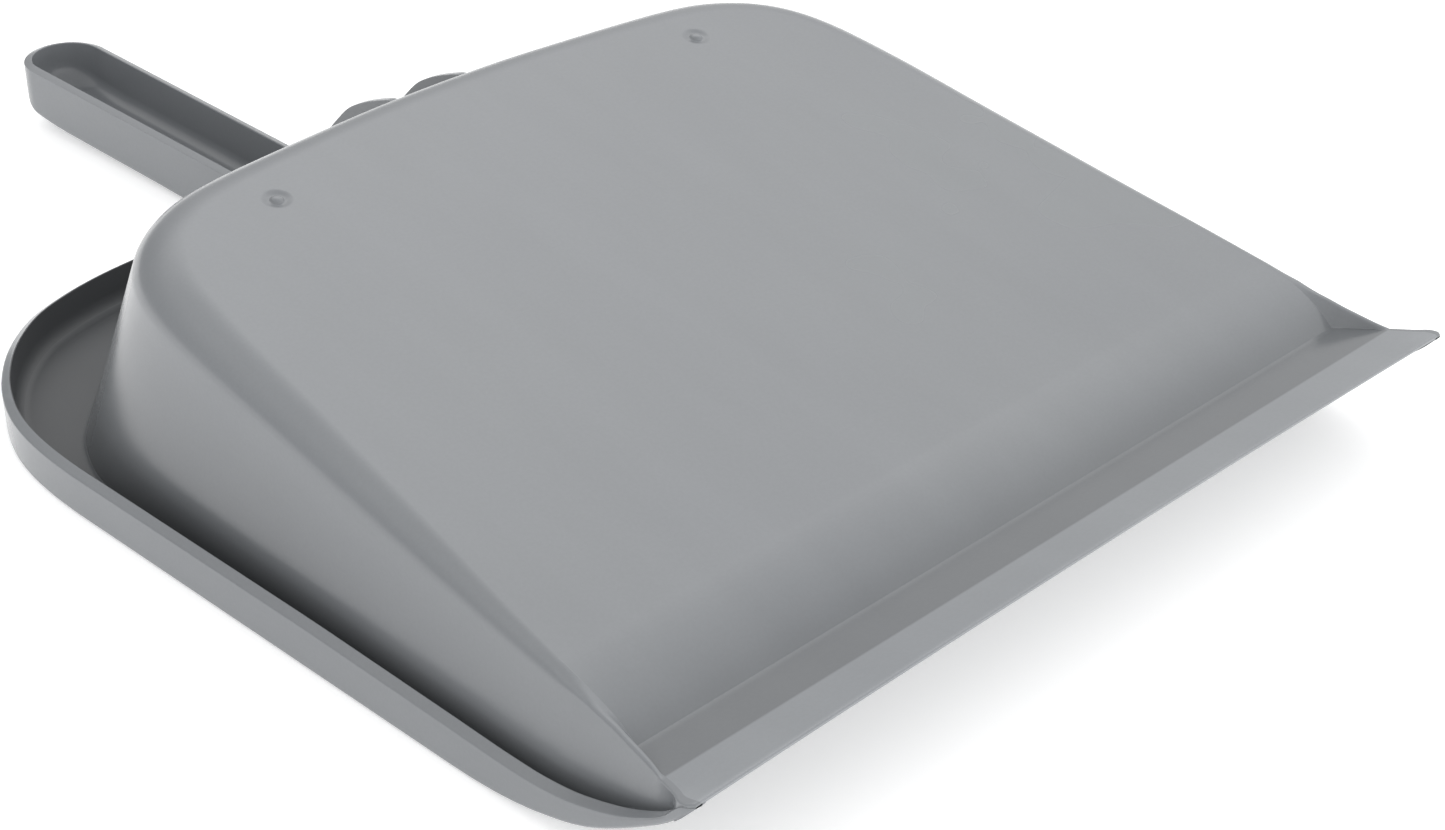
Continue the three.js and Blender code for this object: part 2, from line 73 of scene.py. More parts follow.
# [y, valley edge x, crest inner x, crest inner z, crest outer x, crest outer z]
RIDGE = [[58, 147.5, 149.3, 42.5, 151.35, 41.6], [51.5, 147.85, 149.55, 41.0, 151.5, 40.15], [48, 147.95, 149.75, 40.1, 151.55, 39.45],
         [45.1, 147.9, 149.85, 39.2, 151.6, 38.75], [42.5, 147.75, 149.95, 38.4, 151.65, 38.15],
         [40, 147.6, 150.05, 37.8, 151.75, 37.65], [34.6, 147.4, 150.4, 36.85, 152.1, 36.75],
         [30.9, 147.3, 150.8, 36.05, 152.45, 35.95], [25.4, 149.4, 151.45, 35.05, 153.1, 34.95],
         [21.4, 151.0, 152.0, 34.35, 153.6, 34.25], [18.7, 152.0, 152.6, 33.85, 154.0, 33.75],
         [16, 152.9, 153.5, 33.25, 154.6, 33.35], [12, 154.0, 154.8, 33.72, 156.0, 33.7],
         [8, 155.4, 156.3, 34.48, 157.5, 34.45], [3.8, 156.9, 158.2, 35.3, 159.4, 35.3],
         [1.8, 156.8, 158.0, 35.66, 159.3, 35.66], [0, 156.4, 157.0, 36.0, 158.0, 36.0]]


# ------------------------------------------------------------------ curves and tables
def spline(rows, sub):
    rows = np.array(rows, float)
    out = []
    n = len(rows)
    for i in range(n - 1):
        p0, p1, p2, p3 = rows[max(i - 1, 0)], rows[i], rows[i + 1], rows[min(i + 2, n - 1)]
        for k in range(sub):
            t = k / sub
            out.append(0.5 * (2 * p1 + (p2 - p0) * t + (2 * p0 - 5 * p1 + 4 * p2 - p3) * t * t
                              + (3 * p1 - p0 - 3 * p2 + p3) * t ** 3))
    out.append(rows[-1].copy())
    return np.array(out)


def smooth_table(rows, y):
    """Monotone cubic through rows sorted by falling y."""
    r = np.array(rows, float)[::-1]
    x = r[:, 0]
    y = min(max(y, x[0]), x[-1])
    k = int(min(max(np.searchsorted(x, y, side="right") - 1, 0), len(x) - 2))
    h = np.diff(x)
    d = np.diff(r, axis=0) / h[:, None]

    def slope(i):
        if i == 0:
            return d[0]
        if i == len(x) - 1:
            return d[-1]
        a, b = d[i - 1], d[i]
        w1, w2 = 2 * h[i] + h[i - 1], h[i] + 2 * h[i - 1]
        with np.errstate(divide="ignore", invalid="ignore"):
            m = (w1 + w2) / (w1 / a + w2 / b)
        return np.where(a * b > 0, m, 0.0)

    t = (y - x[k]) / h[k]
    m0, m1 = slope(k) * h[k], slope(k + 1) * h[k]
    v = ((2 * t ** 3 - 3 * t ** 2 + 1) * r[k] + (t ** 3 - 2 * t ** 2 + t) * m0
         + (-2 * t ** 3 + 3 * t ** 2) * r[k + 1] + (t ** 3 - t ** 2) * m1)
    v[0] = y
    return v


def floor_z(y):
    return FLOOR_Z + FLOOR_SLOPE * (y - FLOOR_Y)


def lip_z(y):
    return CREASE_Z + (CREASE_Y - y) * (LIP_Z - CREASE_Z) / CREASE_Y


def bend(t):
    p0, u = (TUB_FRONT, floor_z(TUB_FRONT)), 1 - t
    return (u * u * p0[0] + 2 * u * t * BEND_C[0] + t * t * CREASE_Y,
            u * u * p0[1] + 2 * u * t * BEND_C[1] + t * t * CREASE_Z)


def surface_z(y):
    """Height of floor, bend and lip on the plane of symmetry."""
    if y >= TUB_FRONT:
        return floor_z(y)
    if y <= CREASE_Y:
        return lip_z(y)
    lo, hi = 0.0, 1.0
    for _ in range(40):
        m = (lo + hi) / 2
        if bend(m)[0] > y:
            lo = m
        else:
            hi = m
    return bend((lo + hi) / 2)[1]


def unit(v):
    v = np.array(v, float)
    return v / (np.linalg.norm(v) + 1e-12)


def path_normals(p):
    """Inward unit normals of a plan path that runs front left, rear, front right."""
    out = []
    for i in range(len(p)):
        a, b = p[max(i - 1, 0)], p[min(i + 1, len(p) - 1)]
        t = unit([b[0] - a[0], b[1] - a[1]])
        out.append([t[1], -t[0]])
    return np.array(out)


# ------------------------------------------------------------------ mesh making
class Shape:
    def __init__(self):
        self.v, self.f = [], []

    def add(self, p):
        self.v.append((float(p[0]), float(p[1]), float(p[2])))
        return len(self.v) - 1

    def face(self, *ids):
        keep = []
        for i in ids:
            if i not in keep:
                keep.append(i)
        if len(keep) > 2:
            self.f.append(tuple(keep))


def rings(sections, closed_ends=True):
    """A closed section swept through a list of equal rings."""
    s = Shape()
    idx = [[s.add(p) for p in r] for r in sections]
    m = len(idx[0])
    for a, b in zip(idx[:-1], idx[1:]):
        for j in range(m):
            k = (j + 1) % m
            s.face(a[j], b[j], b[k], a[k])
    if closed_ends:
        s.face(*idx[0])
        s.face(*reversed(idx[-1]))
    return s


def make(name, shape, sharp=32.0, merge=1e-3, weighted=True):
    """Mesh object in the row frame, cleaned and facing out."""
    mesh = bpy.data.meshes.new(name)
    co = np.array(shape.v, float)
    co[:, 1] -= LENGTH / 2
    mesh.from_pydata((co * 0.001).tolist(), [], shape.f)
    mesh.validate()
    bm = bmesh.new()
    bm.from_mesh(mesh)
    bmesh.ops.remove_doubles(bm, verts=bm.verts, dist=merge * 1e-3)
    bmesh.ops.dissolve_degenerate(bm, edges=bm.edges, dist=1e-7)
    caps = [f for f in bm.faces if len(f.verts) > 4]
    if caps:
        bmesh.ops.triangulate(bm, faces=caps, ngon_method="EAR_CLIP")
    bmesh.ops.recalc_face_normals(bm, faces=bm.faces)
    if bm.calc_volume(signed=True) < 0:
        bmesh.ops.reverse_faces(bm, faces=bm.faces)
    bm.to_mesh(mesh)
    bm.free()
    obj = bpy.data.objects.new(name, mesh)
    bpy.context.scene.collection.objects.link(obj)
    return obj


def shade(obj, sharp=32.0):
    mesh = obj.data
    mesh.shade_smooth()
    mesh.set_sharp_from_angle(angle=math.radians(sharp))
    m = obj.modifiers.new("weighted", "WEIGHTED_NORMAL")
    m.keep_sharp = True
    m.weight = 60
    bake_modifiers(obj)
    return obj


def bake_modifiers(obj):
    dg = bpy.context.evaluated_depsgraph_get()
    bpy.context.view_layer.update()
    mesh = bpy.data.meshes.new_from_object(obj.evaluated_get(dg), preserve_all_data_layers=True, depsgraph=dg)
    old = obj.data
    obj.modifiers.clear()
    obj.data = mesh
    bpy.data.meshes.remove(old)


def cut(obj, tool, operation="DIFFERENCE"):
    m = obj.modifiers.new("cut", "BOOLEAN")
    m.object, m.operation, m.solver = tool, operation, "EXACT"
    bake_modifiers(obj)
    bpy.data.objects.remove(tool)


# ------------------------------------------------------------------ stations of the pan
ARC = 14
FRONT_Y = [57.0, 55.5, 54, 52.5, 51, 49.5, 48, 46.5, 45, 43.5, 42, 40.5, 39, 37.5, 36, 34.5, 33, 31.8, 30.9, 30.0,
           28.8, 27.4, 26, 24.5, 23, 21.5, 20, 18.7, 17.5, 16.4, 15.3, 14, 12.5, 11, 9.5, 8, 6.8, 5.6, 4.6, 3.8, 3.0,
           2.2, 1.5, 0.9, 0.4, 0.0]


def rear_half():
    rows = [[*APEX[i], *BASE[i], *OUTER[i], SETBACK[i]] for i in range(len(APEX))]
    return spline(rows, 5)


def shoulder(r, na, nb, inner):
    """Shoulder arc and wall of the tub at one station, from the floor edge to the wall base."""
    zb = smooth_table(FRONT, r[3])[1] if r[3] < 85 else 0.0
    a = np.array([r[0], r[1], floor_z(r[1])])
    b = np.array([r[2], r[3], zb])
    if inner:
        h = a[2] - b[2]
        run = (b[0] - a[0]) * -nb[0] + (b[1] - a[1]) * -nb[1]
        m = run / h
        t = WALL * math.sqrt(1 + m * m)
        s = t - WALL * m
        a[0] += na[0] * s
        a[1] += na[1] * s
        a[2] = floor_z(a[1]) - WALL * 1.02
        b[0] += nb[0] * t
        b[1] += nb[1] * t
    d = max(r[6] - (1.6 if inner else 0), 2.0)
    into = unit([na[0], na[1], na[1] * FLOOR_SLOPE])
    down = unit(b - a)
    t0, w0 = a + into * d, a + down * d
    w = math.sqrt((1 - float(into @ down)) / 2)
    pts = []
    for k in range(ARC + 1):
        t = k / ARC
        c0, c1, c2 = (1 - t) ** 2, 2 * t * (1 - t) * w, t * t
        pts.append((c0 * t0 + c1 * a + c2 * w0) / (c0 + c1 + c2))
    return pts, b


half = rear_half()
half[:, 4] = np.minimum(half[:, 4], HALF_WIDTH)
mirror = half[1:][::-1] * np.array([-1, 1, -1, 1, -1, 1, 1])
full = np.vstack([mirror, half])
nA, nB, nO = path_normals(full[:, 0:2]), path_normals(full[:, 2:4]), path_normals(full[:, 4:6])
for i in (0, -1):
    nA[i] = nB[i] = nO[i] = [-np.sign(full[i, 0]), 0]
tub_outer = [shoulder(r, nA[i], nB[i], False) for i, r in enumerate(full)]
tub_inner = [shoulder(r, nA[i], nB[i], True) for i, r in enumerate(full)]


def on_segment(a, b, z):
    t = (z - b[2]) / (a[2] - b[2])
    return b + (a - b) * t


# ------------------------------------------------------------------ tub
def build_tub():
    s = Shape()
    O, I = [], []
    for (arc, base), (arc2, base2) in zip(tub_outer, tub_inner):
        top, low = arc[-1], base
        wall = [top + (low - top) * t for t in (0.2, 0.4, 0.6, 0.8, 0.93, 1.0)]
        O.append([s.add(p) for p in arc + wall])
        top2, low2 = arc2[-1], base2
        wall2 = [top2 + (low2 - top2) * t for t in (0.2, 0.4, 0.6, 0.8, 0.93, 1.0)]
        I.append([s.add(p) for p in arc2 + wall2])
    n, m = len(O), len(O[0])
    last = n - 1
    for i in range(last):
        for j in range(m - 1):
            s.face(O[i][j], O[i + 1][j], O[i + 1][j + 1], O[i][j + 1])
            s.face(I[i][j + 1], I[i + 1][j + 1], I[i + 1][j], I[i][j])
        s.face(O[i][m - 1], O[i + 1][m - 1], I[i + 1][m - 1], I[i][m - 1])
    mid = last // 2
    for i in range(mid):
        s.face(O[i][0], O[last - i][0], O[last - i - 1][0], O[i + 1][0])
        s.face(I[i + 1][0], I[last - i - 1][0], I[last - i][0], I[i][0])
    for j in range(m - 1):
        s.face(O[0][j], O[0][j + 1], I[0][j + 1], I[0][j])
        s.face(O[last][j + 1], O[last][j], I[last][j], I[last][j + 1])
    s.face(O[last][0], O[0][0], I[0][0], I[last][0])
    return make("pan_tub_moulding", s)


# ------------------------------------------------------------------ cheeks
def rounded(p, q, r, radius, steps=3):
    """Points that round the corner q between p and r."""
    p, q, r = map(np.array, (p, q, r))
    d1, d2 = np.linalg.norm(p - q), np.linalg.norm(r - q)
    k = min(radius, 0.45 * d1, 0.45 * d2)
    a, b = q + (p - q) / d1 * k, q + (r - q) / d2 * k
    out = []
    for i in range(steps + 1):
        t = i / steps
        out.append((1 - t) ** 2 * a + 2 * t * (1 - t) * q + t * t * b)
    return out


def edge_drop(y):
    """The lip's front edge is rounded over."""
    return 0.45 if y == 0 else 0.12 if y == 0.4 else 0.02 if y == 0.9 else 0.0


def cheek_section(y):
    """Right cheek: points from the valley edge over the crest and 5 mm down the outer face."""
    _, xe, xi, zi, xo, zo = smooth_table(RIDGE, y)
    zs = surface_z(y) - edge_drop(y)
    if y < 16:
        zi = zo = zs
    bx, zb = smooth_table(CHEEK_X, y)[1], smooth_table(FRONT, y)[1]
    p0, p1, p2 = (xe, zs), (xi, max(zi, zs)), (xo, zo)
    dn = unit([bx - xo, zb - zo])
    drop = min(5.0, 0.7 * (zo - zb))
    p3 = np.array(p2) + dn * drop
    c1 = rounded(p0, p1, p2, 0.7)
    c2 = rounded(p1, p2, p3, 0.8, 4)
    pts = [np.array(p0)]
    for t in (0.12, 0.4, 0.75):
        pts.append(np.array(p0) + (c1[0] - np.array(p0)) * t)
    pts += c1 + c2
    pts.append(c2[-1] + (p3 - c2[-1]) * 0.5)
    pts.append(p3)
    return [np.array([p[0], y, p[1]]) for p in pts], np.array([bx, y, zb])


N_CHEEK = len(cheek_section(40)[0])
cheek_rows = []                                     # right side, from y = 58 forward
arc58, base58 = tub_outer[-1]
# The tub's arc at y = 58, resampled to the cheek's number of points.
par = np.linspace(0, ARC, N_CHEEK)
arc58r = [arc58[int(t)] * (1 - (t - int(t))) + arc58[min(int(t) + 1, ARC)] * (t - int(t)) for t in par]
cheek_rows.append((arc58r, base58))
BLEND_END = 45.0                                    # from here forward the crest is the ridge alone
for y in FRONT_Y:
    pts, base = cheek_section(y)
    if y > BLEND_END:
        k = (TUB_FRONT - y) / (TUB_FRONT - BLEND_END)
        k = k * k * (3 - 2 * k)
        moved = []
        for a, p in zip(arc58r, pts):
            a2 = np.array([a[0] + 0.0385 * (TUB_FRONT - y), y, a[2] + surface_z(y) - surface_z(TUB_FRONT)])
            moved.append(a2 * (1 - k) + p * k)
        moved[0][2] = surface_z(y)
        pts = moved
    cheek_rows.append((pts, base))
CHEEK_Y = [TUB_FRONT] + FRONT_Y


def edge_x(y):
    i = min(range(len(CHEEK_Y)), key=lambda k: abs(CHEEK_Y[k] - y))
    return cheek_rows[i][0][0][0]


def build_cheek(side):
    sections = []
    for (pts, base), y in zip(cheek_rows, CHEEK_Y):
        w = min(WALL, 1.2 + 0.1 * y)
        xe, ze = pts[0][0], pts[0][2]
        thick = lip_thickness(y)
        ring = list(pts)
        low = pts[-1]
        ring += [low + (base - low) * t for t in (0.25, 0.5, 0.75, 1.0)]
        inner_x = max(base[0] - w, xe + 0.2)
        ring.append(np.array([inner_x, y, base[2]]))
        ring.append(np.array([max(min(inner_x, pts[-1][0] - w), xe + 0.1), y, max(min(ze - thick * 1.1, low[2]), base[2] + 0.02)]))
        ring.append(np.array([xe - 0.6, y, ze - thick * 0.9]))
        ring.append(np.array([xe - 0.6, y, ze - 0.25]))
        sections.append([np.array([side * p[0], p[1], p[2]]) for p in ring])
    return make("cheek_right_moulding" if side > 0 else "cheek_left_moulding", rings(sections))


# ------------------------------------------------------------------ bend and lip
def lip_thickness(y):
    return LIP_EDGE + (WALL - LIP_EDGE) * min(y / 15.5, 1)


def build_lip():
    """Grid over the front: its side edges are the cheeks' valley edges, row for row."""
    s = Shape()
    cols = 28
    rows = []
    for y in CHEEK_Y:
        z = surface_z(y)
        if abs(y - CREASE_Y) < 1.0:                 # small fillet along the crease
            z += 0.16 * (1 - abs(y - CREASE_Y))
        rows.append((y, z, edge_x(y)))

    def bow(x, y):
        return 1.3 * max(1 - (x / 156.5) ** 2, 0) * (1 - y / 12) if y < 12 else 0.0

    T, U = [], []
    for i, (y, z, w) in enumerate(rows):
        a, b = rows[max(i - 1, 0)], rows[min(i + 1, len(rows) - 1)]
        dy, dz = b[0] - a[0], b[1] - a[1]
        ln = math.hypot(dy, dz)
        th = lip_thickness(y)
        top = z - edge_drop(y)
        uz = z - th * 1.0 / max(abs(dy) / ln, 0.55) + (0.3 if y == 0 else 0.05 if y == 0.4 else 0)
        # where the underside folds, it stays above the resting surface of the row behind it
        T.append([s.add([x, y + bow(x, y), top]) for x in np.linspace(-w, w, cols + 1)])
        U.append([s.add([x, y + bow(x, y), uz]) for x in np.linspace(-w, w, cols + 1)])
    n = len(rows)
    for i in range(n - 1):
        for c in range(cols):
            s.face(T[i][c], T[i + 1][c], T[i + 1][c + 1], T[i][c + 1])
            s.face(U[i][c + 1], U[i + 1][c + 1], U[i + 1][c], U[i][c])
        s.face(T[i + 1][0], T[i][0], U[i][0], U[i + 1][0])
        s.face(T[i][cols], T[i + 1][cols], U[i + 1][cols], U[i][cols])
    for c in range(cols):
        s.face(T[0][c], T[0][c + 1], U[0][c + 1], U[0][c])
        s.face(T[n - 1][c + 1], T[n - 1][c], U[n - 1][c], U[n - 1][c + 1])
    return make("front_lip_moulding", s)


# ------------------------------------------------------------------ rolled rim
def rim_section(o, n, n_base, foot, tip, y, rear_x):
    """o outer contour point, n its inward normal, foot the wall base, tip a point up the wall."""
    _, zb, zg, zt, zp = smooth_table(FRONT, min(y, 85))
    if y > 85:
        k = min(max((62 - abs(rear_x)) / 46, 0), 1)
        zt = 14.1 + 1.1 * min((y - 85) / 60, 1) + (5.0 * k * k * (3 - 2 * k) if y > 300 else 0)
        zp = zt - 1.7 + (0.4 * k if y > 300 else 0)
    hh = max(zt - zg, 0.0)
    rf = min(1.4, max(zp - zb, 0.05) * 0.45)
    ri = max(min(4.6, hh * 0.6), 0.03)
    e = min(0.3, max(hh, 0.08) * 0.3)

    def q(d, z):
        return np.array([o[0] + n[0] * d, o[1] + n[1] * d, z])

    fil = min(1.3, max(hh, 0.06) * 0.4)
    foot_g = on_segment(tip, foot, zg) if tip[2] - zg > 0.05 else np.array([foot[0], foot[1], zg])
    up = on_segment(tip, foot, min(zg + fil, tip[2]))
    inb = np.array([n_base[0], n_base[1], 0.0])
    p = [up + inb * 0.5, up - inb * 0.01, (up + foot_g) / 2 - inb * fil * 0.12,
         foot_g - inb * fil * 0.3 + np.array([0, 0, fil * 0.3]) * 0.6, foot_g - inb * fil * 1.05]
    s2 = SKIRT + 0.25
    room = np.linalg.norm((foot_g - q(0, zg))[:2])
    w = min(s2 + ri * 1.0, room - fil * 1.1)
    p += [foot_g * 0.5 + q(w, zg) * 0.5 + np.array([0, 0, -0.0])]
    for a in (1.0, 0.55, 0.28, 0.08, 0.0):
        d = s2 + (w - s2) * a
        z = zg + ri * (1 - math.sqrt(max(1 - (1 - a) ** 2, 0)))
        p.append(q(d, z))
    p += [q(SKIRT + 0.06, zt - e * 1.6), q(SKIRT - 0.02, zt - e * 0.5), q(SKIRT - 0.3, zt - 0.02),
          q(SKIRT - 1.2, zt - (zt - zp) * 0.38), q(0.55, zp + (zt - zp) * 0.2), q(0.15, zp + 0.02), q(0.0, zp - e * 0.9),
          q(0, zp * 0.5 + (zb + rf) * 0.5), q(0, zb + rf), q(rf * 0.12, zb + rf * 0.5), q(rf * 0.5, zb + rf * 0.12), q(rf, zb)]
    low = np.array([foot[0], foot[1], zb]) + inb * 0.5
    p += [q(rf, zb) * 0.5 + low * 0.5, low]
    return p


rim_rings = []
for i, r in enumerate(full):
    arc, base = tub_outer[i]
    rim_rings.append(rim_section(r[4:6], nO[i], nB[i], base, arc[-1], r[5], r[4]))
front_rings = {}
for side in (-1, 1):
    out = []
    for (pts, base), y in zip(cheek_rows[1:], FRONT_Y):
        ox = HALF_WIDTH - 0.16 * max(3.4 - y, 0) ** 2
        flip = np.array([side, 1, 1])
        out.append(rim_section((side * ox, y), (-side, 0), (-side, 0), 
                               np.array([side * min(base[0], 155.4), y, base[2]]),
                               np.array([side * min(pts[-1][0], 155.0), y, pts[-1][2]]), y, side * ox))
    front_rings[side] = out


def build_rim():
    seq = front_rings[-1][::-1] + rim_rings + front_rings[1]
    obj = make("rolled_rim_moulding", rings(seq))
    box = Shape()
    x, y0, y1, z0, z1 = HANDLE_HALF - SKIRT, 350.5, 366, 2.8 + 0.003, 40
    ids = [box.add(c) for c in ((-x, y0, z0), (x, y0, z0), (x, y1, z0), (-x, y1, z0), (-x, y0, z1), (x, y0, z1), (x, y1, z1), (-x, y1, z1))]
    for f in ((0, 3, 2, 1), (4, 5, 6, 7), (0, 1, 5, 4), (1, 2, 6, 5), (2, 3, 7, 6), (3, 0, 4, 7)):
        box.face(*[ids[k] for k in f])
    cut(obj, make("mouth_tool", box))
    return obj


# ------------------------------------------------------------------ handle
def build_handle():
    hw = lambda y: HANDLE_HALF + HANDLE_FLARE * (y - 350)
    R = hw(HANDLE_END_Y)
    right = []
    for k in range(25):
        a = math.pi / 2 * (1 - k / 24)
        right.append((R * math.cos(a), HANDLE_END_Y + R * math.sin(a), math.sin(a)))
    for y in (496, 492, 486, 478, 468, 456, 443, 430, 421, 410, 395, 380, 370, 362, 358.2):
        right.append((hw(y), y, 0.0))
    path = [(-x, y, e) for x, y, e in right[1:][::-1]] + right
    nn = path_normals(path)
    nn[0], nn[-1] = [1, 0], [-1, 0]
    under = lambda y: 0.05 if y < 380 else 0.05 + (y - 380) / 41 * 1.6 if y < 421 else (
        1.65 + (y - 421) / 79 * 2.2 + max(y - 478, 0) ** 2 * 0.0028)
    top = lambda y: 20.5 + (y - 350) * 0.0255
    s = Shape()
    O, I = [], []
    for (x, y, e), n in zip(path, nn):
        def q(d, z):
            return s.add([x + n[0] * d, y + n[1] * d, z])
        k = 0.5 * e * e + 0.5 * e
        zu, zt = under(min(y, HANDLE_END_Y)), top(y)
        zp = zt - 0.9
        f, g = 2 + 11 * k, 2 + 8.5 * k
        h, w = min(4.5 + 8 * k, R - 5.0), 4.5 + 6 * k
        outer = []
        for j in range(9):                          # quarter round under the wall
            a = math.pi / 2 * j / 8
            outer.append(q(f * (1 - math.sin(a)), zu + g * (1 - math.cos(a))))
        outer += [q(0, zu + g + (zp - zu - g) * t) for t in (0.3, 0.65)]
        outer += [q(0, zp - 0.32), q(0.1, zp - 0.05), q(0.42, zp + 0.12), q(SKIRT * 0.55, (zt + zp) / 2 + 0.08),
                  q(SKIRT - 0.35, zt - 0.03), q(SKIRT, zt - 0.28)]
        inner = []
        for j in range(9):
            a = math.pi / 2 * j / 8
            inner.append(q(SKIRT + 0.15 + h * (1 - math.sin(a)), zu + 2.8 + w * (1 - math.cos(a))))
        inner += [q(SKIRT + 0.1, zt - 5.0), q(SKIRT + 0.04, zt - 1.2)]
        O.append(outer)
        I.append(inner)
    n = len(path)
    last = n - 1
    for i in range(last):
        a = O[i] + I[i][::-1]
        b = O[i + 1] + I[i + 1][::-1]
        for j in range(len(a) - 1):
            s.face(a[j], b[j], b[j + 1], a[j + 1])
    mid = last // 2
    for i in range(mid):
        s.face(O[i][0], O[last - i][0], O[last - i - 1][0], O[i + 1][0])
        s.face(I[i][0], I[last - i][0], I[last - i - 1][0], I[i + 1][0])
    for i in (0, last):
        ring = O[i] + I[i][::-1]
        m = len(ring)
        for j in range(m // 2 - 1):
            s.face(ring[j], ring[j + 1], ring[m - 2 - j], ring[m - 1 - j])
        if m % 2:
            s.face(ring[m // 2 - 1], ring[m // 2], ring[m // 2 + 1])
    s.face(O[last][0], O[0][0], I[0][0], I[last][0])
    return make("handle_moulding", s)


# ------------------------------------------------------------------ ribs
def build_rib(side):
    outline = [(278.4, 79.3), (280.7, 79.2), (283, 78.7), (288, 77.0), (294, 74.6), (300, 71.6), (305, 68.1),
               (312, 61.2), (324, 48.5), (337, 34.7), (350, 20.8), (356.9, 20.4), (357.2, 6.2), (356.4, 3.4), (352.6, 2.4),
               (346.0, 2.4)]
    a, b = (272.0, floor_z(272.0)), (346.0, 0.0)
    dense = spline([list(p) for p in outline[:8]], 4).tolist() + [list(p) for p in outline[8:]]
    at = lambda z: a[0] + (a[1] - z) / (a[1] - b[1]) * (b[0] - a[0])
    ring = dense + [[at(2.4) - 1.2, 2.4], [at(79.0) - 1.0, 79.0]]
    x0, x1 = 13.0, 16.0
    area2 = sum(ring[i - 1][0] * ring[i][1] - ring[i][0] * ring[i - 1][1] for i in range(len(ring)))
    turn = 1.0 if area2 < 0 else -1.0               # so that the inset always goes into the plate
    sections = []
    for x, inset in ((x0, 0.35), (x0 + 0.1, 0.1), (x0 + 0.35, 0.0), (x1 - 0.35, 0.0), (x1 - 0.1, 0.1), (x1, 0.35)):
        sec = []
        for i, (y, z) in enumerate(ring):
            p, n = ring[i - 1], ring[(i + 1) % len(ring)]
            t = unit([n[0] - p[0], n[1] - p[1]])
            sec.append(np.array([side * x, y + turn * t[1] * inset, z - turn * t[0] * inset]))
        sections.append(sec)
    return make("spine_rib_right_moulding" if side > 0 else "spine_rib_left_moulding", rings(sections))


# ------------------------------------------------------------------ craters and studs
def lathe_on_floor(name, profile, x, lift, steps=48):
    """A turned solid whose axis stands on the tilted floor."""
    s = Shape()
    ct, st = math.cos(math.atan(FLOOR_SLOPE)), math.sin(math.atan(FLOOR_SLOPE))

    def place(r, z, k):
        a = 2 * math.pi * k / steps
        u, v, w = r * math.cos(a), r * math.sin(a), z + lift
        return [x + u, STUD_Y + v * ct - w * st, floor_z(STUD_Y) + v * st + w * ct]
    grid = []
    for r, z in profile:
        if r == 0:
            c = s.add(place(0, z, 0))
            grid.append([c] * steps)
        else:
            grid.append([s.add(place(r, z, k)) for k in range(steps)])
    for a, b in zip(grid[:-1], grid[1:]):
        for k in range(steps):
            j = (k + 1) % steps
            s.face(a[k], a[j], b[j], b[k])
    return make(name, s)


def crater_tool(x):
    r, d = CRATER_R, CRATER_DEPTH
    prof = [(0, -d), (r * 0.45, -d)]
    prof += [(r * (0.45 + 0.53 * t), -d * (1 - t * t * (3 - 2 * t))) for t in (0.15, 0.3, 0.45, 0.6, 0.75, 0.88)]
    prof += [(r * 1.0, 0.012), (r * 1.1, 1.5), (0, 1.5)]
    return lathe_on_floor("crater_tool", prof, x, 0.0)


def build_stud(side):
    prof = [(0, -0.3), (2.3, -0.3), (2.3, 0.0), (2.18, 0.1), (1.95, 0.24)]
    prof += [(1.9 * math.cos(a), 0.2 + 0.85 * math.sin(a)) for a in np.linspace(0.2, math.pi / 2 - 0.12, 9)]
    prof += [(0, 1.05)]
    return lathe_on_floor("floor_stud_right_moulding" if side > 0 else "floor_stud_left_moulding", prof, side * STUD_X, -CRATER_DEPTH)


